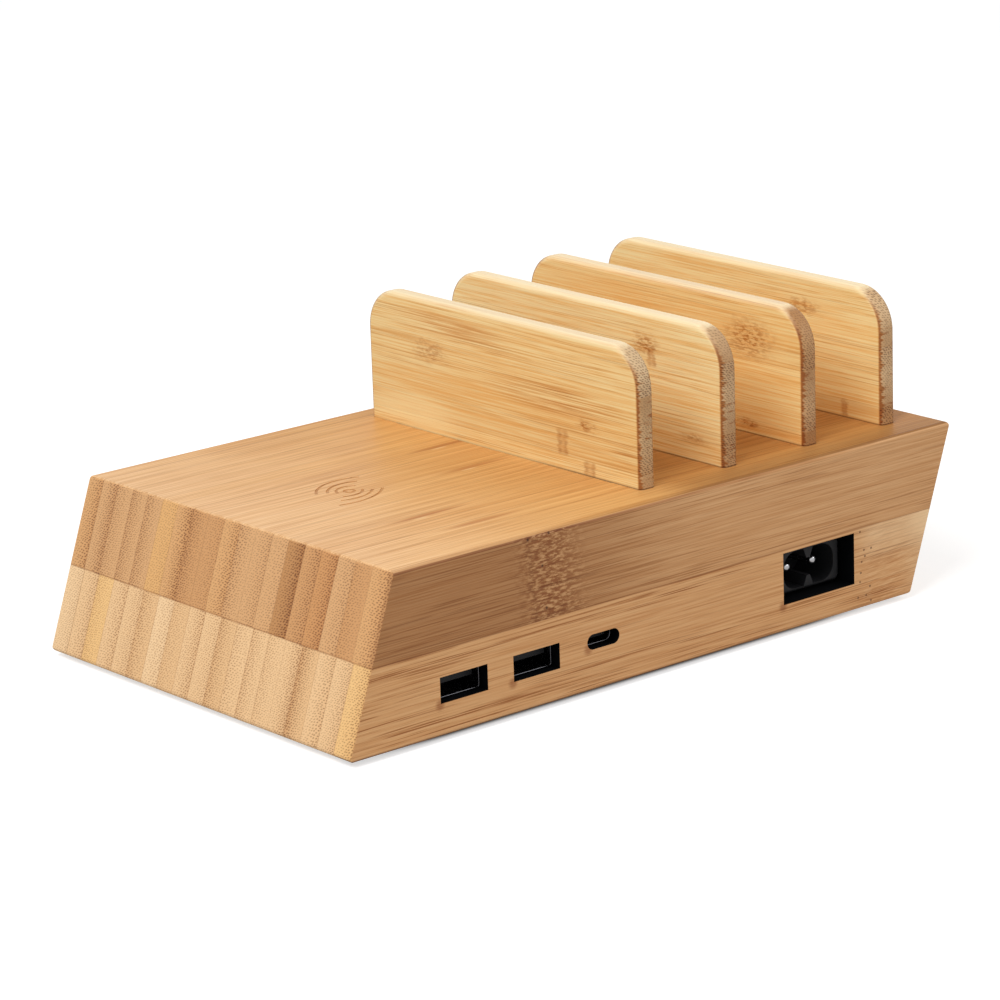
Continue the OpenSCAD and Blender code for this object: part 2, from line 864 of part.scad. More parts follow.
module usb_c_insert() {
    block_y = usb_c_back_y - usb_c_block_depth;
    base_w = usb_c_w - usb_c_h / 2;
    color(black_plastic) {
        translate([usb_c_x, 0, usb_c_z]) {
            along_y(block_y, usb_c_back_y + past)
                slot_shape(usb_c_w - 2 * usb_shell_t - 2 * insert_gap,
                    usb_c_h - 2 * usb_shell_t - 2 * insert_gap);
            along_y(usb_face_y + usb_c_tongue_recess, block_y + past)
                square([usb_c_tongue_w, usb_c_tongue_t], center = true);
        }
        span_box([usb_c_x - base_w / 2, usb_c_back_y, port_top_z],
            [usb_c_x + base_w / 2, usb_c_back_y + usb_c_base_depth, usb_c_z + usb_c_h / 2]);
    }
}

module usb_c_contacts() {
    y = usb_face_y + usb_c_tongue_recess + usb_c_contact_w;
    first = usb_c_x - (usb_c_contact_count - 1) * usb_c_contact_pitch / 2;
    color(gold)
        for (i = [0:usb_c_contact_count - 1], s = [-1, 1])
            translate([first + i * usb_c_contact_pitch, y + usb_c_contact_l / 2,
                usb_c_z + s * (usb_c_tongue_t + usb_c_contact_t) / 2])
                cube([usb_c_contact_w, usb_c_contact_l, usb_c_contact_t], center = true);
}

// Figure-8 inlet

module figure_8() {
    root = socket_h / 2 + past;
    slope = (notch_root_w - notch_tip_w) / 2 / notch_depth;
    difference() {
        rounded_rect(socket_w, socket_h, socket_r);
        for (s = [-1, 1])
            scale([1, s]) {
                polygon([
                    [-notch_root_w / 2 - slope * past, root],
                    [-notch_tip_w / 2, root - past - notch_depth],
                    [notch_tip_w / 2, root - past - notch_depth],
                    [notch_root_w / 2 + slope * past, root]
                ]);
            }
    }
}

// A pin on its collar, which the moulding holds, with a tab behind, or the room that these take with a gap
module inlet_pin(x, gap) {
    translate([x, 0, inlet_z]) {
        along_y(inlet_face_y + pin_recess, socket_end_y - pin_ease) circle(pin_r);
        translate([0, socket_end_y - pin_ease, 0]) rotate([-90, 0, 0])
            cylinder(r1 = pin_r, r2 = pin_collar_r, h = pin_ease);
        along_y(socket_end_y, inlet_back_y - pin_root) circle(pin_collar_r + gap);
        along_y(inlet_back_y - pin_root - past, tab_end_y + gap)
            square([tab_t + 2 * gap, tab_w + 2 * gap], center = true);
    }
}

module inlet_housing() {
    color(black_plastic) difference() {
        translate([inlet_x, 0, inlet_z]) {
            along_y(inlet_face_y, inlet_back_y) rounded_rect(inlet_w, inlet_h, inlet_r);
            along_y(inner_front_y, inner_front_y + flange_t) rounded_rect(flange_w, flange_h, inlet_r);
        }
        translate([inlet_x, 0, inlet_z])
            along_y(inlet_face_y - past, socket_end_y) figure_8();
        for (s = [-1, 1])
            inlet_pin(inlet_x + s * pin_pitch / 2, insert_gap);
        flange_spots() post(inlet_screw[0] + screw_pass, -past, flange_t + past);
    }
}

module inlet_pins() {
    color(bright_metal)
        for (s = [-1, 1])
            inlet_pin(inlet_x + s * pin_pitch / 2, 0);
}

module inlet_screws() {
    color(dark_metal) flange_spots() pan_screw(inlet_screw);
}

// Boards

module board(x0, y0, x1, y1, z, holes) {
    color(board_green) difference() {
        span_box([x0, y0, z], [x1, y1, z + board_t]);
        for (p = holes)
            translate([p[0], p[1], 0]) post(board_screw[0] + screw_pass, z - past, z + board_t + past);
        children();
    }
}

module port_board() {
    board(port_board_x0, port_board_y0, port_board_x1, port_board_y1, port_board_z, port_screw_at) {
        for (x = [usb_a_1_x, usb_a_2_x]) {
            for (at = usb_a_contact_at)
                translate([x + at, usb_a_back_y + usb_a_tail_t / 2, 0])
                    post(tail_hole_r, port_board_z - past, port_top_z + past);
            for (s = [-1, 1])
                translate([x + s * (usb_a_w - usb_shell_t) / 2, usb_face_y + usb_a_leg_from_face, 0])
                    along_z(port_board_z - past, port_top_z + past)
                        rotate(90) slot_shape(leg_w + leg_slot_w, leg_slot_w);
        }
        for (s = [-1, 1])
            translate([usb_c_x + s * (usb_c_w - usb_shell_t) / 2, usb_c_back_y - usb_c_leg_from_back, 0])
                along_z(port_board_z - past, port_top_z + past)
                    rotate(90) slot_shape(usb_c_leg_w + leg_slot_w, leg_slot_w);
    }
}

module port_chip() {
    color(chip_grey)
        standing_box([(usb_a_1_x + usb_a_2_x) / 2, port_parts_y],
            [port_chip_w, port_chip_w, port_chip_h], port_top_z);
}

module port_inductors() {
    color(chip_grey)
        for (x = [usb_a_1_x, usb_a_2_x])
            translate([x, port_parts_y, 0])
                along_z(port_top_z, port_top_z + inductor_h)
                    rounded_rect(inductor_w, inductor_w, inductor_r);
}

module standing_can(r, h) {
    rotate_extrude() difference() {
        square([r, h]);
        translate([r + can_groove_r / 2, can_groove_from]) circle(can_groove_r);
    }
}

module port_capacitor() {
    color("#3d4046")
        translate([port_capacitor_x, port_parts_y, port_top_z])
            standing_can(port_capacitor_r, port_capacitor_h);
}

module mains_board() {
    board(mains_x0, mains_y0, mains_x0 + mains_l, mains_y0 + mains_w, boss_top_z, mains_screw_at);
}

// Places a piece on the mains board
module on_mains(at) {
    translate([mains_x0 + at[0], mains_y0 + at[1], board_top_z]) children();
}

module fuse() {
    color("#d8d2c4") on_mains(fuse_at)
        translate([0, 0, fuse_r]) {
            along_x(-fuse_l / 2 + fuse_cap_l, fuse_l / 2 - fuse_cap_l) circle(fuse_r - fuse_cap_t);
            along_x(-fuse_l / 2, -fuse_l / 2 + fuse_cap_l) circle(fuse_r);
            along_x(fuse_l / 2 - fuse_cap_l, fuse_l / 2) circle(fuse_r);
        }
}

module filter_capacitor() {
    color("#c8a431") on_mains(filter_capacitor_at)
        along_z(0, filter_capacitor_size[2])
            rounded_rect(filter_capacitor_size[0], filter_capacitor_size[1], filter_capacitor_r);
}

// A ring core with two windings on opposite sides
module filter_choke() {
    mid_r = (choke_r + choke_hole_r) / 2;
    band = choke_r - choke_hole_r;
    color("#3c5a3a") on_mains(choke_at) translate([0, 0, choke_wire_t + choke_h / 2]) {
        rotate_extrude() translate([mid_r, 0]) square([band, choke_h], center = true);
        for (a = [90, 270])
            rotate([0, 0, a - choke_arc / 2])
                rotate_extrude(angle = choke_arc)
                    translate([mid_r, 0])
                        square([band + 2 * choke_wire_t, choke_h + 2 * choke_wire_t], center = true);
    }
}

module bridge_rectifier() {
    color(chip_grey) on_mains(bridge_at)
        translate([-bridge_size[0] / 2, -bridge_size[1] / 2, 0]) cube(bridge_size);
}

module storage_capacitor() {
    color("#2c3a52") on_mains(storage_at)
        translate([0, -storage_l / 2, storage_r]) rotate([-90, 0, 0]) standing_can(storage_r, storage_l);
}

// An E core pair: a frame with a middle leg, on the bobbin's base
module transformer_core() {
    z0 = bobbin_base_h;
    color("#45464a") on_mains(transformer_at)
        translate([0, 0, z0 + core_h / 2]) along_y(-core_t / 2, core_t / 2) difference() {
            square([core_w, core_h], center = true);
            for (s = [-1, 1])
                translate([s * (core_mid / 2 + core_window() / 2), 0])
                    square([core_window(), core_h - 2 * core_leg], center = true);
        }
}

function core_window() = (core_w - core_mid) / 2 - core_leg;

module transformer_winding() {
    winding_x = core_mid + 2 * core_window() - 2 * winding_gap;
    color("#c9a94a") on_mains(transformer_at) {
        difference() {
            along_z(bobbin_base_h + core_leg + winding_gap, bobbin_base_h + core_h - core_leg - winding_gap)
                rounded_rect(winding_x, winding_y, winding_r);
            along_z(0, bobbin_base_h + core_h)
                square([core_mid + 2 * winding_gap, core_t + 2 * winding_gap], center = true);
        }
        along_z(0, bobbin_base_h) square(bobbin_base, center = true);
        for (turn = [0, 180])
            rotate([0, 0, turn])
                span_box([-core_mid / 2, core_t / 2 + winding_gap + bobbin_neck_in, 0],
                    [core_mid / 2, winding_y / 2 - bobbin_neck_in, bobbin_base_h + core_leg + past]);
    }
}

module heat_sink() {
    fin_step = (heat_sink_w - fin_t) / (fin_count - 1);
    color(bright_metal) on_mains(heat_sink_at) along_z(0, heat_sink_h) {
        translate([-heat_sink_w / 2, 0]) square([heat_sink_w, heat_sink_t]);
        for (i = [0:fin_count - 1])
            translate([-heat_sink_w / 2 + i * fin_step, 0]) square([fin_t, heat_sink_t + fin_l]);
    }
}

module power_transistor() {
    lift = heat_sink_h - transistor_tab_h;
    color(chip_grey) on_mains(heat_sink_at) {
        span_box([-transistor_size[0] / 2, -transistor_tab_t, lift],
            [transistor_size[0] / 2, 0, lift + transistor_tab_h]);
        span_box([-transistor_size[0] / 2, -transistor_size[1], lift],
            [transistor_size[0] / 2, 0, lift + transistor_size[2]]);
        for (i = [-1:1])
            standing_box([i * transistor_leg_pitch, -transistor_size[1] / 2],
                [transistor_leg_w, transistor_leg_w, lift + past], 0);
    }
}

module output_capacitors() {
    color("#2c3a52")
        for (at = output_capacitor_at)
            on_mains(at) standing_can(output_capacitor_r, output_capacitor_h);
}

module charger_board() {
    board(charger_x0, charger_y0, charger_x0 + charger_l, charger_y0 + charger_w, boss_top_z,
        charger_screw_at);
}

module on_charger(at) {
    translate([charger_x0 + at[0], charger_y0 + at[1], board_top_z]) children();
}

module charger_chip() {
    color(chip_grey) on_charger(charger_chip_at) standing_box([0, 0], charger_chip_size, 0);
}

module charger_inductor() {
    color(chip_grey) on_charger(charger_inductor_at)
        along_z(0, charger_inductor_size[2])
            rounded_rect(charger_inductor_size[0], charger_inductor_size[1], charger_inductor_r);
}

module tuning_capacitors() {
    color("#7c3f2e")
        for (i = [0:tuning_count - 1])
            on_charger(tuning_at + [i * tuning_pitch, 0]) standing_box([0, 0], tuning_size, 0);
}

module board_screws() {
    color(bright_metal) {
        for (p = concat(mains_screw_at, charger_screw_at))
            translate([p[0], p[1], board_top_z]) mirror([0, 0, 1]) pan_screw(board_screw);
        for (p = port_screw_at)
            translate([p[0], p[1], port_top_z]) mirror([0, 0, 1]) pan_screw(board_screw);
    }
}

// Coil, ferrite and tray

// The winding in its own plane, then its two ends bent down through the ferrite and the tray
function coil_path() =
    let (
        low = board_top_z - coil_z,
        start = coil_bend / coil_inner_r * 180 / PI,
        end = 360 * coil_turns - coil_bend / coil_outer_r * 180 / PI,
        steps = coil_steps * coil_turns,
        bend = coil_bend * (1 - cos(45))
    )
    concat(
        [[coil_inner_r, 0, low], [coil_inner_r, 0, -coil_bend], [coil_inner_r, bend, -bend]],
        [for (i = [0:steps])
            let (a = start + (end - start) * i / steps, r = coil_inner_r + coil_pitch * a / 360)
            [r * cos(a), r * sin(a), 0]],
        [[coil_outer_r, -bend, -bend], [coil_outer_r, 0, -coil_bend], [coil_outer_r, 0, low]]
    );

// Least gap between one turn and the next, measured on the points of the flat winding
function coil_gap(path) =
    min([for (i = [3:len(path) - 5 - coil_steps])
        norm(path[i + coil_steps] - path[i]) - coil_wire_d]);

module coil() {
    path = coil_path();
    echo(least_gap_between_turns = coil_gap(path));
    color("#b5713a") translate([coil_x, 0, coil_z]) tube(path, coil_wire_d / 2, 6, [1, 0, 0]);
}

module lead_holes() {
    for (r = [coil_inner_r, coil_outer_r])
        translate([r, 0, 0]) post(lead_hole_r, tray_floor_z - tray_t - past, ferrite_top_z + past);
}

module ferrite_disc() {
    color("#4a4a4d") translate([coil_x, 0, 0]) difference() {
        post(ferrite_r, tray_floor_z, ferrite_top_z);
        lead_holes();
    }
}

module coil_tray() {
    color("#e6e4de") translate([coil_x, 0, 0]) difference() {
        union() {
            post(tray_r, tray_floor_z - tray_t, tray_floor_z + tray_rim_h);
            for (a = ear_angles)
                rotate([0, 0, a]) {
                    translate([ear_at, 0, 0]) post(ear_r, tray_floor_z - tray_t, tray_floor_z);
                    span_box([ferrite_r, -ear_r, tray_floor_z - tray_t], [ear_at, ear_r, tray_floor_z]);
                }
        }
        post(ferrite_r + ferrite_gap, tray_floor_z, tray_floor_z + tray_rim_h + past);
        lead_holes();
        for (a = ear_angles)
            rotate([0, 0, a]) translate([ear_at, 0, 0])
                post(tray_screw[0] + screw_pass, tray_floor_z - tray_t - past, tray_floor_z + past);
    }
}

module tray_screws() {
    color(bright_metal) translate([coil_x, 0, tray_floor_z - tray_t])
        for (a = ear_angles)
            rotate([0, 0, a]) translate([ear_at, 0, 0]) pan_screw(tray_screw);
}

// Leads between the boards

module inlet_leads() {
    color("#6b4a2f")
        for (i = [0, 1]) {
            from = [inlet_x + (i * 2 - 1) * pin_pitch / 2, tab_end_y, inlet_z];
            to = [mains_x0 + inlet_lead_at[i][0], mains_y0 + inlet_lead_at[i][1], board_top_z];
            lead(from, [0, inlet_lead_run, 0], to, [0, 0, inlet_lead_drop]);
        }
}

module port_leads() {
    color("#8c2f2a")
        for (i = [0, 1])
            arched_lead([mains_x0 + port_lead_from[i][0], mains_y0 + port_lead_from[i][1], board_top_z],
                [port_lead_at[1 - i], port_parts_y, port_top_z]);
}

module charger_leads() {
    color("#8c2f2a")
        for (i = [0, 1])
            arched_lead(
                [mains_x0 + charger_lead_from[i][0], mains_y0 + charger_lead_from[i][1], board_top_z],
                [charger_x0 + charger_lead_at[1 - i][0], charger_y0 + charger_lead_at[1 - i][1],
                    board_top_z]);
}

upper_block();
lower_block();
divider(0);  // divider_1
divider(1);  // divider_2
divider(2);  // divider_3
divider(3);  // divider_4
base_plate();
base_screws();
rubber_feet();
usb_a_shell(usb_a_1_x);  // usb_a_shell_1
usb_a_insert(usb_a_1_x);  // usb_a_insert_1
usb_a_contacts(usb_a_1_x);  // usb_a_contacts_1
usb_a_shell(usb_a_2_x);  // usb_a_shell_2
usb_a_insert(usb_a_2_x);  // usb_a_insert_2
usb_a_contacts(usb_a_2_x);  // usb_a_contacts_2
usb_c_shell();
usb_c_insert();
usb_c_contacts();
inlet_housing();
inlet_pins();
inlet_screws();
port_board();
port_chip();
port_inductors();
port_capacitor();
mains_board();
fuse();
filter_capacitor();
filter_choke();
bridge_rectifier();
storage_capacitor();
transformer_core();
transformer_winding();
heat_sink();
power_transistor();
output_capacitors();
charger_board();
charger_chip();
charger_inductor();
tuning_capacitors();
coil();
ferrite_disc();
coil_tray();
tray_screws();
board_screws();
inlet_leads();
port_leads();
charger_leads();
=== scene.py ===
import json
import math

import bmesh
import bpy
from mathutils import Matrix, Vector


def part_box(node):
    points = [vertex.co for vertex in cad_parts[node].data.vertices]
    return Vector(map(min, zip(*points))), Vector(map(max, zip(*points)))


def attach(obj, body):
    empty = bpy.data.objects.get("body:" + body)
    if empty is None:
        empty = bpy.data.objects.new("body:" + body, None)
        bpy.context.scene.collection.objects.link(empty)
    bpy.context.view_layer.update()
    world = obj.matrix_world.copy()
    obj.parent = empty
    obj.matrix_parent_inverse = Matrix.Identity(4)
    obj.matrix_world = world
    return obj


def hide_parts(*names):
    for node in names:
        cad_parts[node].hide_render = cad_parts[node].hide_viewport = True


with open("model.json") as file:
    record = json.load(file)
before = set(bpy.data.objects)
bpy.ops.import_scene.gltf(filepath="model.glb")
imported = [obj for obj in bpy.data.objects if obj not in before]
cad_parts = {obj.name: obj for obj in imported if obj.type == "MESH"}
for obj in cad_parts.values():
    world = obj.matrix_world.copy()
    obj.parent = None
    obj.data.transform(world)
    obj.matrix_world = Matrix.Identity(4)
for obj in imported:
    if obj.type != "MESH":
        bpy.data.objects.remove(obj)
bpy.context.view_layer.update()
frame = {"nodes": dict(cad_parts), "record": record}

MM = 0.001
NODES = frame["nodes"]

# Places on the object, in millimetres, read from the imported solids
UPPER_LOW, UPPER_HIGH = (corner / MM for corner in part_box("upper_block"))
LOWER_LOW, LOWER_HIGH = (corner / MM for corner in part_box("lower_block"))
FRONT_Y = LOWER_LOW.y
TOP_Z = UPPER_HIGH.z
LEAN = (UPPER_LOW.x - LOWER_LOW.x) / (TOP_Z - LOWER_LOW.z)


# Colour, from the six digits of its screen value to the light that it reflects
def shade(code):
    def light(part):
        share = int(part, 16) / 255
        return share / 12.92 if share <= 0.04045 else ((share + 0.055) / 1.055) ** 2.4
    return (light(code[0:2]), light(code[2:4]), light(code[4:6]), 1)


# Numbers that change over a surface, with Python's operators for their Math nodes
class Amount:
    def __init__(self, finish, socket):
        self.finish = finish
        self.socket = socket

    def math(self, operation, *terms):
        made = self.finish.node("Math", {"operation": operation}, dict(enumerate(terms)))
        return Amount(self.finish, made.outputs[0])

    def __add__(self, other):
        return self.math("ADD", self, other)

    def __sub__(self, other):
        return self.math("SUBTRACT", self, other)

    def __rsub__(self, other):
        return self.math("SUBTRACT", other, self)

    def __mul__(self, other):
        return self.math("MULTIPLY", self, other)

    def __truediv__(self, other):
        return self.math("DIVIDE", self, other)

    def __abs__(self):
        return self.math("ABSOLUTE", self)

    def __lt__(self, other):
        return self.math("LESS_THAN", self, other)

    def __gt__(self, other):
        return self.math("GREATER_THAN", self, other)

    __radd__ = __add__
    __rmul__ = __mul__

    def floor(self):
        return self.math("FLOOR", self)

    def least(self, other):
        return self.math("MINIMUM", self, other)

    def most(self, other):
        return self.math("MAXIMUM", self, other)

    # From 0 at one level to 1 at the other, smoothly
    def rise(self, start, end):
        made = self.finish.node("MapRange", {"interpolation_type": "SMOOTHSTEP"},
                                {"Value": self, "From Min": start, "From Max": end})
        return Amount(self.finish, made.outputs[0])

    # 1 between two levels, fading out over a width on each side
    def between(self, start, end, fade):
        return self.rise(start - fade, start + fade) * (1 - self.rise(end - fade, end + fade))


# A material, or the world's light, while it is made
class Finish:
    def __init__(self, name, kind=bpy.data.materials):
        self.material = kind.new(name)
        self.material.use_nodes = True
        self.tree = self.material.node_tree
        self.tree.nodes.clear()

    def node(self, kind, settings=None, values=None):
        made = self.tree.nodes.new("ShaderNode" + kind)
        for name, setting in (settings or {}).items():
            if name == "stops":
                elements = made.color_ramp.elements
                while len(elements) < len(setting):
                    elements.new(1)
                for stop, (position, colour) in zip(elements, setting):
                    stop.position = position
                    stop.color = colour
            elif name == "steps":
                made.color_ramp.interpolation = "CONSTANT" if setting else "LINEAR"
            else:
                setattr(made, name, setting)
        for name, value in (values or {}).items():
            socket = made.inputs[name]
            if isinstance(value, Amount):
                value = value.socket
            if isinstance(value, bpy.types.NodeSocket):
                self.tree.links.new(value, socket)
            else:
                socket.default_value = value
        return made

    # The place on the object, in millimetres along X, Y and Z
    def place(self):
        point = self.node("TexCoord").outputs["Object"]
        split = self.node("SeparateXYZ", None, {0: point})
        return [Amount(self, out) * 1000 for out in split.outputs]

    # How far a surface faces along one axis, from 0 to 1
    def facing(self, axis):
        split = self.node("SeparateXYZ", None, {0: self.node("TexCoord").outputs["Normal"]})
        return abs(Amount(self, split.outputs["xyz".index(axis)]))

    def vector(self, x, y, z):
        return self.node("CombineXYZ", None, {0: x, 1: y, 2: z}).outputs[0]

    def noise(self, vector, detail=2, roughness=0.5, scale=1):
        made = self.node("TexNoise", None, {"Vector": vector, "Scale": scale, "Detail": detail,
                                            "Roughness": roughness})
        return Amount(self, made.outputs[0])

    # Distance from the nearest seed of a flat scattered pattern
    def scatter(self, vector, randomness):
        made = self.node("TexVoronoi", {"feature": "F1", "voronoi_dimensions": "2D"},
                         {"Vector": vector, "Scale": 1, "Randomness": randomness})
        return Amount(self, made.outputs["Distance"])

    # Three chance numbers that stay the same wherever the amount is the same
    def lots(self, amount):
        made = self.node("TexWhiteNoise", {"noise_dimensions": "1D"}, {"W": amount})
        split = self.node("SeparateColor", None, {0: made.outputs["Color"]})
        return [Amount(self, out) for out in split.outputs]

    # 1 at each of some places, fading to 0 between two distances
    def spots(self, x, y, places, start, end):
        here = self.vector(x, y, 0)
        nearest = None
        for place in places:
            made = self.node("VectorMath", {"operation": "DISTANCE"}, {0: here, 1: (*place, 0)})
            away = Amount(self, made.outputs["Value"])
            nearest = away if nearest is None else nearest.least(away)
        return 1 - nearest.rise(start, end)

    def mix(self, amount, low, high, blend="MIX"):
        made = self.node("Mix", {"data_type": "RGBA", "blend_type": blend, "clamp_factor": True},
                         {0: amount, 6: low, 7: high})
        return made.outputs[2]

    def tint(self, amount, colour, code):
        return self.mix(amount, colour, shade(code), "MULTIPLY")

    def ramp(self, amount, *stops):
        return self.node("ValToRGB", {"stops": stops}, {0: amount}).outputs[0]

    def bump(self, height, distance, strength=1):
        made = self.node("Bump", None, {"Height": height, "Distance": distance, "Strength": strength})
        return made.outputs[0]

    def surface(self, **sockets):
        values = {name.replace("_", " ").title().replace("Ior", "IOR"): value for name, value in sockets.items()}
        shader = self.node("BsdfPrincipled", None, values)
        self.node("OutputMaterial", None, {0: shader.outputs[0]})
        return self.material


# Strips of bamboo by the letter that names their shade
SHADES = {
    "p": "ffffff",
    "m": "faf5ef",
    "t": "f4ebe0",
    "y": "fdf3d8",
    "o": "f6ead8",
    "b": "ead9c6",
    "d": "d8c4ac",
    "r": "e8d2ba",
}


# Grain of one bamboo strip: its fibre bundles, crowded towards the stem's skin, show as dots where they
# are cut across and as broken lines where they are cut along
def strip_grain(f, g, a, t, number, crowding, rind, end, streak, pale, warm, brown, ground, dots):
    drift = f.noise(f.vector(g * 0.012, a * 0.05, t * 0.05), 1) * 3
    swirl = f.noise(f.vector(g * 0.01, a * 0.14 + number * 3.1, t * 0.14), 1) * 1.6
    row = (t + swirl) * crowding * 1.7
    away = f.scatter(f.vector((a + drift) * crowding + row * 0.5 + number * 5.3, row, 0), 0.45)
    reach = rind * 0.08 + 0.24
    bundle = 1 - away.rise(reach - 0.09, reach + 0.08)
    fine = f.noise(f.vector(g * 0.035, a * 2.2 + number * 7.7, t * 3), 3, 0.65)
    broad = f.noise(f.vector(g * 0.007, a * 0.5 + number * 7.7, t * 0.9), 2)
    broken = f.noise(f.vector(g * 0.05, a * 0.9 + number * 3.9, t * 0.9), 1).rise(0.42, 0.62)
    grove = f.noise(f.vector(g * 0.008, a * 0.17 + number * 2.9, t * 0.17), 1).rise(0.4, 0.6) * 0.9 + 0.3
    along = 1 - end
    depth = fine * 0.78 + broad * 0.22
    wood = f.ramp(depth, (0.4, shade(pale)), (0.6, shade(warm)))
    wood = f.mix(end * 0.88, wood, shade(ground))
    wood = f.tint(rind * rind * (end * 0.3 + 0.1), wood, "ccac8c")
    dark = f.mix(end, shade(brown), shade(dots))
    wood = f.mix(bundle * (end * (rind * 0.6 + 0.28) + along * broken * grove * streak), wood, dark)
    wood = f.mix(fine.rise(0.55, 0.66) * along * grove * (streak * 0.6 + 0.1), wood, dark)
    wood = f.mix((1 - fine.rise(0.3, 0.42)) * along * 0.45, wood, shade(pale))
    relief = fine * 0.5 - bundle * (end * 1.2 + 0.3)
    return wood, depth, bundle, relief


def lacquered(f, wood, depth, bundle, relief):
    rough = depth * 0.14 + bundle * 0.08 + 0.38
    return f.surface(base_color=wood, roughness=rough, specular_ior_level=0.25,
                     normal=f.bump(relief, 0.00004, 0.7))


# Wood of a block: upright strips side by side across it, each named by the letter of its shade from the back
# to the port side. The strips keep to the last letter beyond the last seam.
def block_wood(name, strip, start, letters, crowds, colours, streak, marks):
    f = Finish(name)
    x, y, z = f.place()
    lane = (start - y) / strip
    number = lane.floor().least(len(letters) - 1)
    part = lane - number
    chance, glue, side = f.lots(number + start)
    key = (number + 0.5) / len(letters)
    stops = [(i / len(letters), (*shade(SHADES[letter])[:3], int(crowds[i]) / 9))
             for i, letter in enumerate(letters)]
    kinds = f.node("ValToRGB", {"steps": True, "stops": stops}, {0: key})
    crowd = Amount(f, kinds.outputs["Alpha"])
    back = side > 0.7
    rind = (part + back * (1 - part * 2)) * (crowd * 0.9 + 0.25)
    end = f.facing("x").rise(0.6, 0.85)
    lines = (1 - f.facing("z") * 0.75) * streak
    crowding = chance * 0.2 + 1.02
    wood, depth, bundle, relief = strip_grain(f, x, y, z, number, crowding, rind, end, lines, *colours)
    wood = f.mix(end * 0.8 + 0.2, wood, kinds.outputs["Color"], "MULTIPLY")
    edge = part.least(1 - part)
    seam = 1 - edge.rise(0.0, 0.035)
    wood = f.mix(seam * (glue * 0.45 + 0.15), wood, shade(colours[2]))
    first = number > len(letters) - 1.5
    wood, relief = marks(f, x, y, z, first, end, wood, relief, colours)
    return lacquered(f, wood, depth, bundle, relief - seam * 0.6)


# The upper block's own marks: a node band and darker wood on the port side, flecks on the pad, and the
# scorched floor of the engraved charging mark; besides, a painted sheen and painted shade on the top, and
# painted shade along the port side's top edge and its corner with the end
def upper_marks(f, x, y, z, first, end, wood, relief, colours):
    above = f.facing("z").rise(0.5, 0.75) * (z > TOP_Z - 1.2)
    front = first * (1 - end) * (1 - above)
    # The top is tinted warmer towards the right: partly the wood's own tone along its length, partly a painted
    # sheen that leaves the pad's left end paler
    wood = f.tint(above * (x.rise(-90, 0) * 0.8 + 0.2), wood, "ebdab2")
    # Painted shade: the top among and beyond the plates is darkened and greyed, where the plates shade it
    wood = f.tint(above * x.rise(0, 14), wood, "e6dacc")
    # The strip along the port-side edge, right of the pad, is darker: partly painted shadow of the plates, partly
    # the strip's own browner wood
    wood = f.tint(above * x.rise(-5, 20) * (1 - y.rise(-53, -46)), wood, "dddee4")
    wood = f.tint(front, wood, "fff6ea")
    wood = f.tint(front * (1 - x.rise(-45, 22)) * 0.85, wood, "c9b8a6")
    # Painted shade: a dark line on the lower part of the rounded top edge of the port side, fading out to the
    # right
    edge_shade = f.facing("z").rise(0.06, 0.2) * front * (z > TOP_Z - 1.2) * (1 - x.rise(-30, 60))
    wood = f.tint(edge_shade * 0.6, wood, "b48c6a")
    # Painted shade: the rounded upright corner between the end and the port side is darkened, more towards its top
    corner = (f.facing("x") * f.facing("y") * 2).rise(0.2, 0.9) * first * (1 - x.rise(-60, 0))
    wood = f.tint(corner * (z - UPPER_LOW.z).rise(-8, 22) * 0.8, wood, "8e6c54")
    wood = f.tint((1 - (z - UPPER_LOW.z).rise(0.05, 0.3)) * 0.5, wood, "a27c58")
    ripple = f.noise(f.vector(x * 0.5, y, z * 1.5), 3, 0.6)
    drift = x + z * 0.1 + (ripple - 0.5) * 6
    band = drift.between(-38.5, -24, 6) * front
    wood = f.tint(band * ripple.rise(0.45, 0.58) * 0.75, wood, "bc9270")
    wood = f.mix(band * (1 - ripple.rise(0.38, 0.47)) * 0.5, wood, shade(colours[1]))
    ring = (1 - abs(drift + 36.8).rise(0.2, 1.5)) * front
    wood = f.tint(ring * ripple.rise(0.38, 0.6) * 0.25, wood, "a5805f")
    pits = f.spots(x, z, [(-37, 33.8), (-36.1, 23.8), (-34.8, 40.9), (-41, 40.6)], 0.15, 0.45) * front
    wood = f.mix(pits * 0.85, wood, shade("4a2c18"))
    flecks = f.spots(x * 0.18, y, [(-8.7, -28.8), (-2.6, -4.9), (-1.3, 14.8)], 0.15, 0.6) * (1 - end)
    knots = f.spots(x * 0.1, y, [(-4.6, -27.6), (-1.2, -3.6), (-0.5, 16.2), (-4.04, -40.2)], 0.3, 1.5) * (1 - end)
    wood = f.tint(knots * above * 0.6, wood, "c08f64")
    wood = f.mix(flecks * above * 0.55, wood, shade("f2cf9c"))
    mark = z.between(TOP_Z - 0.25, TOP_Z - 0.07, 0.01)
    mark = mark * f.spots(x, y, [MARK_CENTRE], 13, 13.2)
    wood = f.tint(mark * 0.9, wood, "d8c6ac")
    return wood, relief - pits * 3 - ring * 0.3 - band * ripple
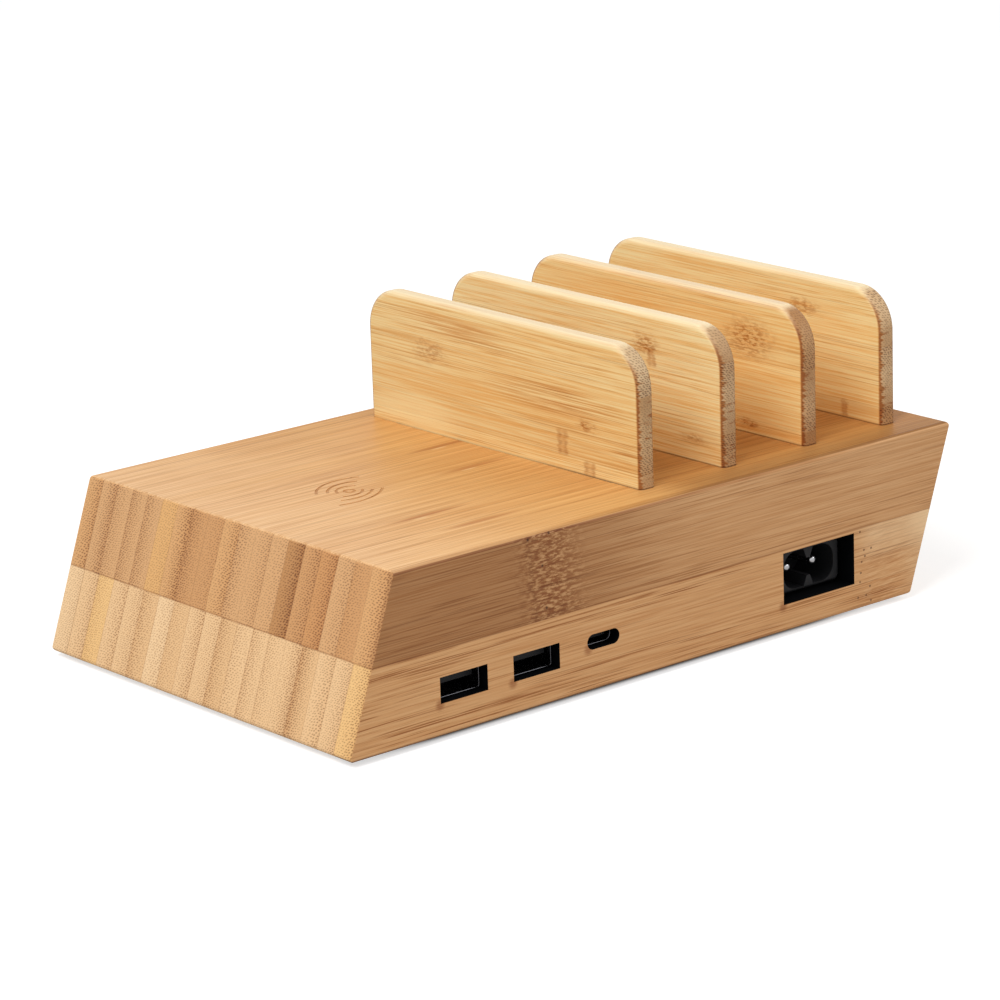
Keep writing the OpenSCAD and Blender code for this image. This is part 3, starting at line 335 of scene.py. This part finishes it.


# The lower block's own marks: a row of pits and slanted streaks at the node beside the inlet, and painted
# shade along the foot of the port side
def lower_marks(f, x, y, z, first, end, wood, relief, colours):
    front = first * (1 - end)
    wood = f.tint((1 - (LOWER_HIGH.z - z).rise(0.05, 0.3)) * 0.4, wood, "a27c58")
    wood = f.tint(front, wood, "fff1e2")
    # Painted shade: a dark line along the foot of the port side, where shade falls under the block, fading out to
    # the right
    under = (1 - (z - LOWER_LOW.z).rise(0.25, 0.8)) * first
    wood = f.tint(under * (1 - x.rise(10, 75)) * 0.8, wood, "6e4c34")
    smudges = f.spots(x, z, [(-67.6, 8.6), (-46.6, 8.6), (-24.2, 11.2), (36.7, 7.6)], 0.4, 1.8) * front
    wood = f.tint(smudges * 0.6, wood, "a87a56")
    beyond = (x - z * 0.12).rise(60, 64) * front
    slant = f.noise(f.vector(x * 0.2 + z * 0.25, y * 0.5, z * 3 - x * 0.35), 3, 0.6)
    wood = f.tint(beyond * slant.rise(0.46, 0.66) * 0.3, wood, "cfa47a")
    wood = f.mix(beyond * (1 - slant.rise(0.34, 0.48)) * 0.2, wood, shade(colours[0]))
    faded = (x - z * 0.12).rise(56, 66) * z.rise(LOWER_HIGH.z - 11, LOWER_HIGH.z - 3) * 0.4 + x.rise(74, 86) * 0.35
    wood = f.mix(front * faded, wood, shade(colours[0]))
    pits = f.spots(x, z, [(62.2, 20.3), (65.9, 15.6), (63.5, 15.6), (63.8, 14), (62.7, 12.8), (62.4, 10.1),
                          (62.1, 7.9), (65.4, 6.2), (64.1, 4.2), (61.4, 4.1), (65.7, 2.6)], 0.1, 0.42) * front
    wood = f.mix(pits * 0.8, wood, shade("5c3a20"))
    return wood, relief - pits * 3


# Wood of a divider: lying strips one above the other from the first seam on, each with its fibre bundles
# crowded at its foot, or at its top where it is turned over
def plate_wood(name, first, strip, letters, crowd, colours, turned, seed, tone, ends, bars=(), patches=(),
               lined=(), pales=()):
    f = Finish(name)
    x, y, z = f.place()
    wave = (f.noise(f.vector(x * 0.2, y * 0.03, z * 0.02), 1) - 0.5) * 1.2
    lane = (z + wave - first) / strip + 1
    number = lane.floor()
    part = lane - number
    rind = (part if turned else 1 - part) * crowd
    side = f.facing("y")
    end = side.rise(0.15, 0.5)
    wood, depth, bundle, relief = strip_grain(f, y, x, z, number + seed, 1.2, rind, end, 0.34, *colours)
    stops = [(i / len(letters), shade(SHADES[letter])) for i, letter in enumerate(letters)]
    kinds = f.node("ValToRGB", {"steps": True, "stops": stops}, {0: (number + 0.5) / len(letters)})
    wood = f.mix(end * 0.6 + 0.4, wood, kinds.outputs["Color"], "MULTIPLY")
    wood = f.tint(1 - end, wood, tone)
    wood = f.tint(end, wood, ends)
    wood = f.tint(end * (1 - rind).rise(0.35, 1) * 0.75, wood, "ccb49c")
    wood = f.tint(end * rind * 0.4, wood, "c8b09a")
    saw = f.noise(f.vector(x * 0.3, y * 0.3, z * 1.5), 2)
    edge = side.rise(0.1, 0.35) * (1 - (side + (saw - 0.5) * 1.5).rise(0.6, 0.9))
    edge = edge * (1 - f.facing("z").rise(0.1, 0.6)) * (0.9 - y.rise(-20, 20) * 0.6)
    wood = f.tint(edge, wood, "c8965c")
    seam = 1 - (part.least(1 - part) * strip).rise(0.0, 0.16)
    wood = f.mix(seam * 0.3, wood, shade(colours[2]))
    face = 1 - end
    # Painted shade: the faces are darkened just above the block's top, where each plate stands on it, more towards
    # the port side
    foot = 1 - (z - TOP_Z).rise(0.1, 0.5)
    wood = f.tint(foot * (0.75 - y.rise(-35, 5) * 0.5), wood, "80593a")
    # Painted highlight: the upward-facing parts of the faces, the top rim most, are made paler
    wood = f.mix(f.facing("z") * face * 0.5, wood, shade("fff2d8"))
    speck = f.noise(f.vector(x * 0.6, y * 0.3, z * 1.1), 2, 0.5)
    grit = f.noise(f.vector(x, y * 0.55, z * 2), 2, 0.6)
    for (y0, z0, width, height, strength) in patches:
        away = f.spots((y + (speck - 0.5) * 5) / width, (z + (speck - 0.5) * 2) / height,
                       [(y0 / width, z0 / height)], 0.1, 1)
        wood = f.tint(away * (grit.rise(0.4, 0.6) * 0.8 + 0.2) * face * strength, wood, "bd8c58")
    for (y0, z0, width, height, strength) in lined:
        away = f.spots(y / width, z / height, [(y0 / width, z0 / height)], 0.2, 1)
        wood = f.tint(away * depth.rise(0.42, 0.58) * face * strength, wood, "cc9c62")
    for (y0, z0, width, height, strength) in pales:
        away = f.spots(y / width, z / height, [(y0 / width, z0 / height)], 0.2, 1)
        wood = f.mix(away * face * strength, wood, shade(colours[0]))
    for (y0, low, high, width) in bars:
        off = abs(y + (speck - 0.5) * 2.5 - y0)
        span = z.between(low, high, 0.5) * face
        rim = (1 - abs(off - width / 2).rise(0.1, 1.1)) * span
        wood = f.tint((1 - off.rise(width / 2, width)) * span * 0.3, wood, "c8955a")
        wood = f.tint(rim * (speck.rise(0.3, 0.7) * 0.7 + 0.3) * 0.4, wood, "b98049")
    return lacquered(f, wood, depth, bundle, relief - seam * 0.6)


# Plain moulded, painted or plated finishes, with a fine texture of their own
def moulded(name, colour, roughness, grain=2.5, depth=0.00002, metallic=0.0, variation=0.25, shine=0.5):
    f = Finish(name)
    x, y, z = f.place()
    speck = f.noise(f.vector(x, y, z), 4, 0.6, grain)
    cloud = f.noise(f.vector(x, y, z), 2, 0.5, 0.12)
    tint = f.mix(cloud * variation, shade(colour), (0.6, 0.6, 0.6, 1), "MULTIPLY")
    return f.surface(base_color=tint, roughness=speck * 0.18 + (roughness - 0.09),
                     metallic=metallic, specular_ior_level=shine, normal=f.bump(speck, depth, 0.5))


# The charging mark: the ring's centre and radius, and for each arc its centre, radius, and first and last angle
MARK_CENTRE = (-45.5, 0.9)
MARK_RING = 1.2
MARK_ARCS = [
    ((-42.1, -2.3), 12.3, 149, 63),
    ((-43.1, -1.0), 8.1, 151, 61),
    ((-44.5, 0.3), 4.2, 167, 48),
    ((-46.8, 2.2), 4.9, -124, -30),
    ((-47.8, 4.2), 9.2, -116, -40),
    ((-49.9, 7.7), 15.4, -108, -42),
]
STROKE_WIDTH = 0.7
STROKE_DEPTH = 0.12

# Colours of the wood: pale, warm and brown along the grain, and the ground and the dots across it
UPPER_COLOURS = ("fbd2a2", "e2b07c", "99683f", "e5b887", "845636")
LOWER_COLOURS = ("fcd8a8", "e8b985", "a36f43", "f6d0a0", "9a6c46")
PLATE_COLOURS = ("ffebb4", "f6c880", "b98043", "e4c8a0", "7e583a")

UPPER_WOOD = block_wood("upper bamboo", 5.96, 57.36, "ottttyobbotttdbrtbo", "7846619626542967426",
                        UPPER_COLOURS, 0.45, upper_marks)
LOWER_WOOD = block_wood("lower bamboo", 5.99, 57.09, "pmymmtptmmtmmmmtmmy", "3535453263635379556",
                        LOWER_COLOURS, 0.9, lower_marks)

PLATES = {
    "divider_1": dict(first=45.2, strip=18.2, letters="ptp", turned=False, seed=11, tone="f6f0e6", ends="ffffff",
                      bars=[(-21.4, 45.4, 51.2, 2.2), (-30.8, 41.8, 45.0, 2.6)],
                      patches=[(-30.2, 53.4, 5, 2, 0.9), (27, 62, 9, 4.5, 0.6)],
                      lined=[(-20, 58, 32, 5, 0.55), (20, 69, 30, 4, 0.5), (-44, 49, 8, 3, 0.4)],
                      pales=[(34, 46, 26, 6, 0.5)]),
    "divider_2": dict(first=49.5, strip=17.2, letters="tpp", turned=True, seed=23, tone="ffffff", ends="f4ece6",
                      bars=[(-24, 62.0, 66.5, 1.6)],
                      patches=[(-22, 67, 6, 4, 0.9), (-38, 47, 6, 2, 0.6)]),
    "divider_3": dict(first=45.0, strip=14.9, letters="tpt", turned=False, seed=37, tone="fff6e8", ends="f0e0d2",
                      patches=[(-30, 65, 12, 7, 0.9), (-29, 44, 5, 1.6, 0.9)]),
    "divider_4": dict(first=46.1, strip=14.9, letters="bpp", turned=True, seed=41, tone="fffcf4", ends="fffaf6",
                      bars=[(-35.6, 42.0, 46.0, 1.0)],
                      patches=[(-22, 67, 8, 3, 0.7)]),
}

FINISHES = {
    "black_plastic": moulded("black plastic", "1c1c1e", 0.5, shine=0.35),
    "rubber": moulded("rubber", "242424", 0.85),
    "black_nickel": moulded("black nickel", "6a6a6e", 0.28, metallic=1.0),
    "gold_contact": moulded("gold contact", "c9a45a", 0.3, metallic=1.0),
    "nickel": moulded("nickel", "cfcfd2", 0.18, metallic=1.0, variation=0.1),
    "screw_steel": moulded("screw steel", "8f9094", 0.35, metallic=1.0),
    "circuit_board": moulded("circuit board", "1f5a37", 0.4),
    "moulded_epoxy": moulded("moulded epoxy", "2c2c30", 0.6),
    "can_sleeve": moulded("can sleeve", "2b3a55", 0.35),
    "yellow_film": moulded("yellow film", "c9a338", 0.4),
    "brown_film": moulded("brown film", "7c3f2e", 0.35),
    "green_core": moulded("green core", "3a5d3b", 0.4),
    "ceramic": moulded("ceramic", "dcd8cc", 0.35),
    "ferrite": moulded("ferrite", "4a4a4e", 0.7),
    "heat_sink": moulded("heat sink", "b9babd", 0.35, metallic=1.0),
    "copper_wire": moulded("copper wire", "b2703a", 0.3, metallic=0.9),
    "white_plastic": moulded("white plastic", "e4e2dc", 0.5),
    "lead_sheath": moulded("lead sheath", "8c2f2a", 0.45),
    "bamboo_dark": UPPER_WOOD,
    "bamboo_light": LOWER_WOOD,
}
# Near-black finish for the walls of the four cut-outs
CUT_OUT_BLACK = moulded("cut-out black", "050608", 0.6, shine=0.08)


def dress(target, material):
    target.data.materials.clear()
    target.data.materials.append(material)


# A merged copy of a node's solid, to be worked on
def copy_of(node):
    work = bmesh.new()
    work.from_mesh(NODES[node].data)
    bmesh.ops.remove_doubles(work, verts=work.verts, dist=0.000001)
    return work


def put(name, work, *materials):
    mesh = bpy.data.meshes.new(name)
    for material in materials:
        mesh.materials.append(material)
    work.to_mesh(mesh)
    work.free()
    made = bpy.data.objects.new(name, mesh)
    bpy.context.scene.collection.objects.link(made)
    return made


# Flat faces of the object look along an axis, or lean as the two ends do
def is_flat(face):
    x, y, z = (abs(part) for part in face.normal)
    return max(x, y, z) > 0.9999 or (y < 0.01 and abs(z / max(x, 0.001) - LEAN) < 0.004)


# Rounded faces shade smoothly, and the flat ones beside them stay flat
def set_shading(work, angle=32):
    for face in work.faces:
        face.smooth = True
    for edge in work.edges:
        one, other = edge.link_faces
        bend = one.normal.angle(other.normal, 0)
        edge.smooth = bend < math.radians(angle) and is_flat(one) == is_flat(other)


def stands_for(made, slot, *nodes):
    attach(made, "root")
    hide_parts(*nodes)


# One stroke of the mark: a small upright rectangle swept round a centre
def sweep_stroke(work, centre, radius, first, last, steps):
    centre = Vector(centre)
    way = Vector((math.cos(math.radians(first)), math.sin(math.radians(first))))
    section = []
    for side, height in ((-1, -STROKE_DEPTH), (1, -STROKE_DEPTH), (1, 1), (-1, 1)):
        at = centre + way * (radius + side * STROKE_WIDTH / 2)
        section.append(work.verts.new(Vector((at.x, at.y, TOP_Z + height)) * MM))
    face = work.faces.new(section)
    bmesh.ops.spin(work, geom=section + list(face.edges) + [face], cent=Vector((*centre, TOP_Z)) * MM,
                   axis=(0, 0, 1), angle=math.radians(last - first), steps=steps,
                   use_merge=abs(last - first) == 360)


def make_mark():
    work = bmesh.new()
    for centre, radius, first, last in MARK_ARCS:
        sweep_stroke(work, centre, radius, first, last, 40)
    sweep_stroke(work, MARK_CENTRE, MARK_RING, 0, 360, 32)
    bmesh.ops.remove_doubles(work, verts=work.verts, dist=0.0000005)
    inner = [face for face in work.faces if all(len(edge.link_faces) > 2 for edge in face.edges)]
    bmesh.ops.delete(work, geom=inner, context="FACES_ONLY")
    bmesh.ops.recalc_face_normals(work, faces=work.faces)
    return put("mark_cutter", work)


# The pad's block, with the mark cut into it
def make_upper_block():
    blank = put("pad_blank", copy_of("upper_block"), UPPER_WOOD)
    mark = make_mark()
    cut = blank.modifiers.new("cut", "BOOLEAN")
    cut.operation = "DIFFERENCE"
    cut.solver = "EXACT"
    cut.object = mark
    cut_blank = blank.evaluated_get(bpy.context.evaluated_depsgraph_get()).to_mesh()
    work = bmesh.new()
    work.from_mesh(cut_blank)
    for used in (blank, mark):
        bpy.data.objects.remove(used)
    set_shading(work)
    stands_for(put("pad_block", work, UPPER_WOOD), "bamboo_dark", "upper_block")


# Cut-outs of the port side: middle and size along X and Z
CUT_OUTS = [(-60.6, 11.85, 13.6, 6.04), (-39.5, 11.85, 13.6, 6.04), (-19.6, 12.7, 9.7, 3.6),
            (48.55, 14.15, 23.3, 12.6)]


def make_lower_block():
    work = copy_of("lower_block")
    # The walls of the cut-outs take the near-black finish
    for face in work.faces:
        at = face.calc_center_median() / MM
        for x, z, width, height in CUT_OUTS:
            inside = abs(at.x - x) < width / 2 + 0.05 and abs(at.z - z) < height / 2 + 0.05
            if inside and at.y > FRONT_Y + 0.02:
                face.material_index = 1
    set_shading(work)
    stands_for(put("frame_block", work, LOWER_WOOD, CUT_OUT_BLACK), "bamboo_light", "lower_block")


# A divider: a plate with two round corners and a soft rim, on a narrower tenon
def make_divider(node, looks):
    low, high = (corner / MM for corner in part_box(node))
    work = bmesh.new()
    bmesh.ops.create_cube(work, size=1)
    size = Vector((high.x - low.x, high.y - low.y, high.z - TOP_Z))
    centre = Vector(((low.x + high.x) / 2, (low.y + high.y) / 2, (high.z + TOP_Z) / 2))
    bmesh.ops.scale(work, verts=work.verts, vec=size * MM)
    bmesh.ops.translate(work, verts=work.verts, vec=centre * MM)
    top = high.z * MM - 0.0001
    foot = TOP_Z * MM + 0.0001
    corners = [edge for edge in work.edges
               if all(vert.co.z > top for vert in edge.verts)
               and abs(edge.verts[0].co.x - edge.verts[1].co.x) > 0.001]
    bmesh.ops.bevel(work, geom=corners, offset=10 * MM, segments=24, profile=0.5, affect="EDGES",
                    material=-1, clamp_overlap=False)
    rim = [edge for edge in work.edges
           if abs(edge.verts[0].co.x - edge.verts[1].co.x) < 0.0001
           and not all(vert.co.z < foot for vert in edge.verts)]
    bmesh.ops.bevel(work, geom=rim, offset=1.3 * MM, segments=6, profile=0.5, affect="EDGES",
                    material=-1, clamp_overlap=False)
    for side in (-1, 1):
        bmesh.ops.bisect_plane(work, geom=work.verts[:] + work.edges[:] + work.faces[:], dist=0.0000001,
                               plane_co=(0, (centre.y + side * (size.y / 2 - 8)) * MM, 0), plane_no=(0, 1, 0))
    tongue = [face for face in work.faces
              if all(vert.co.z < foot for vert in face.verts)
              and abs(face.calc_center_median().y / MM - centre.y) < size.y / 2 - 8]
    grown = bmesh.ops.extrude_face_region(work, geom=tongue)["geom"]
    bmesh.ops.delete(work, geom=tongue, context="FACES_ONLY")
    moved = [item for item in grown if isinstance(item, bmesh.types.BMVert)]
    bmesh.ops.translate(work, verts=moved, vec=(0, 0, (low.z - TOP_Z) * MM))
    bmesh.ops.recalc_face_normals(work, faces=work.faces)
    wood = plate_wood(node.replace("_", " ") + " bamboo", crowd=0.9, colours=PLATE_COLOURS, **looks)
    set_shading(work)
    stands_for(put("plate_" + node[-1], work, wood), "bamboo_pale", node)


# The inlet's pins, with their tips rounded to a dome
def make_pins():
    work = copy_of("inlet_pins")
    tip_y = min(vert.co.y for vert in work.verts)
    flat = [face for face in work.faces if all(vert.co.y < tip_y + 0.00001 for vert in face.verts)]
    groups = {}
    for face in flat:
        groups.setdefault(face.calc_center_median().x > 0.0485, []).append(face)
    rims = []
    for group in groups.values():
        cap = bmesh.ops.dissolve_faces(work, faces=group)["region"][0]
        rims += list(cap.edges)
    bmesh.ops.bevel(work, geom=rims, offset=0.95 * MM, segments=7, profile=0.5, affect="EDGES",
                    material=-1, clamp_overlap=False)
    work.normal_update()
    set_shading(work, 50)
    stands_for(put("inlet_pin_pair", work, FINISHES["nickel"]), "nickel", "inlet_pins")


# A shell or moulding with its rim rounded where it faces the port side. Only the rim's outside is rounded
# where a half width and height of its mouth are given.
def soften_rim(node, name, slot, offset, mouth=None):
    work = copy_of(node)
    bmesh.ops.dissolve_limit(work, angle_limit=math.radians(1), verts=work.verts, edges=work.edges)
    front_y = min(vert.co.y for vert in work.verts)
    middle = (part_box(node)[0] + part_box(node)[1]) / 2
    rim = []
    for edge in work.edges:
        if all(vert.co.y < front_y + 0.00001 for vert in edge.verts) and edge.calc_face_angle(0) > 1:
            off = ((edge.verts[0].co + edge.verts[1].co) / 2 - middle) / MM
            if mouth is None or abs(off.x) > mouth[0] or abs(off.z) > mouth[1]:
                rim.append(edge)
    bmesh.ops.bevel(work, geom=rim, offset=offset * MM, segments=4, profile=0.5, affect="EDGES",
                    material=-1, clamp_overlap=False)
    work.normal_update()
    set_shading(work, 50)
    stands_for(put(name, work, FINISHES[slot]), slot, node)


for part in frame["record"]["subparts"]:
    if part["material_slot"] in FINISHES:
        dress(NODES[part["node"]], FINISHES[part["material_slot"]])

make_upper_block()
make_lower_block()
make_pins()
soften_rim("inlet_housing", "inlet_moulding", "black_plastic", 0.62, (8.3, 4.65))
soften_rim("usb_a_shell_1", "usb_a_can_1", "black_nickel", 0.13)
soften_rim("usb_a_shell_2", "usb_a_can_2", "black_nickel", 0.13)
soften_rim("usb_c_shell", "usb_c_can", "black_nickel", 0.13)
for node, looks in PLATES.items():
    make_divider(node, looks)


# Camera at the photograph's place: azimuth and pitch in degrees, roll about its axis, and place in metres
CAMERA_PLACE = Vector((-0.605609, -0.727130, 0.299026))
AZIMUTH = 39.7345
PITCH = 15.8636
ROLL = -1.9603
FOCAL_LENGTH = 148.888


def make_camera():
    y, p, r = (math.radians(v) for v in (AZIMUTH, PITCH, ROLL))
    forward = Vector((math.sin(y) * math.cos(p), math.cos(y) * math.cos(p), -math.sin(p)))
    right = Vector((math.cos(y), -math.sin(y), 0))
    up = right.cross(forward)
    turned_right = math.cos(r) * right + math.sin(r) * up
    turned_up = math.cos(r) * up - math.sin(r) * right
    data = bpy.data.cameras.new("camera")
    data.lens = FOCAL_LENGTH
    data.sensor_width = 36
    data.clip_end = 20
    camera = bpy.data.objects.new("camera", data)
    bpy.context.scene.collection.objects.link(camera)
    turn = Matrix((turned_right, turned_up, -forward)).transposed()
    camera.matrix_world = Matrix.Translation(CAMERA_PLACE) @ turn.to_4x4()
    bpy.context.scene.camera = camera


def make_floor():
    f = Finish("floor")
    ray = f.node("LightPath")
    seen = Amount(f, ray.outputs["Is Camera Ray"])
    x, y, z = f.place()
    # Painted shadow: the floor's glow is left out beneath the object, so the shade under it stays dark
    under = x.between(-74, 58, 12) * y.between(-54.3, 54, 1.2)
    diffuse = f.node("BsdfDiffuse", None, {"Color": (0.62, 0.62, 0.62, 1)})
    glow = f.node("Emission", None, {"Color": (1, 1, 1, 1), "Strength": seen * (1 - under) * 0.62})
    both = f.node("AddShader", None, {0: diffuse.outputs[0], 1: glow.outputs[0]})
    f.node("OutputMaterial", None, {0: both.outputs[0]})
    sheet = bmesh.new()
    bmesh.ops.create_grid(sheet, x_segments=1, y_segments=1, size=6)
    bmesh.ops.translate(sheet, verts=sheet.verts, vec=(0, 0, -0.00005))
    floor = put("floor", sheet, f.material)


def make_lamp(name, place, size, power):
    data = bpy.data.lights.new(name, "AREA")
    data.shape = "RECTANGLE"
    data.size = size[0]
    data.size_y = size[1]
    data.energy = power
    lamp = bpy.data.objects.new(name, data)
    bpy.context.scene.collection.objects.link(lamp)
    lamp.location = place
    lamp.rotation_euler = (Vector((0, 0, 0.03)) - Vector(place)).to_track_quat("-Z", "Y").to_euler()


# Plain white all round, brighter where the camera or a glossy surface sees it than where it lights the object
def make_world():
    f = Finish("studio", bpy.data.worlds)
    ray = f.node("LightPath")
    seen = Amount(f, ray.outputs["Is Camera Ray"]).most(Amount(f, ray.outputs["Is Glossy Ray"]))
    white = f.node("Background", None, {"Strength": seen * 0.44 + 0.56})
    f.node("OutputWorld", None, {0: white.outputs[0]})
    bpy.context.scene.world = f.material


make_camera()
make_floor()
make_world()
make_lamp("key lamp", (-0.85, -0.25, 1.15), (0.8, 0.8), 13)
make_lamp("side lamp", (0.7, -0.8, 0.7), (0.7, 0.7), 3)
bpy.context.scene.view_settings.view_transform = "Standard"
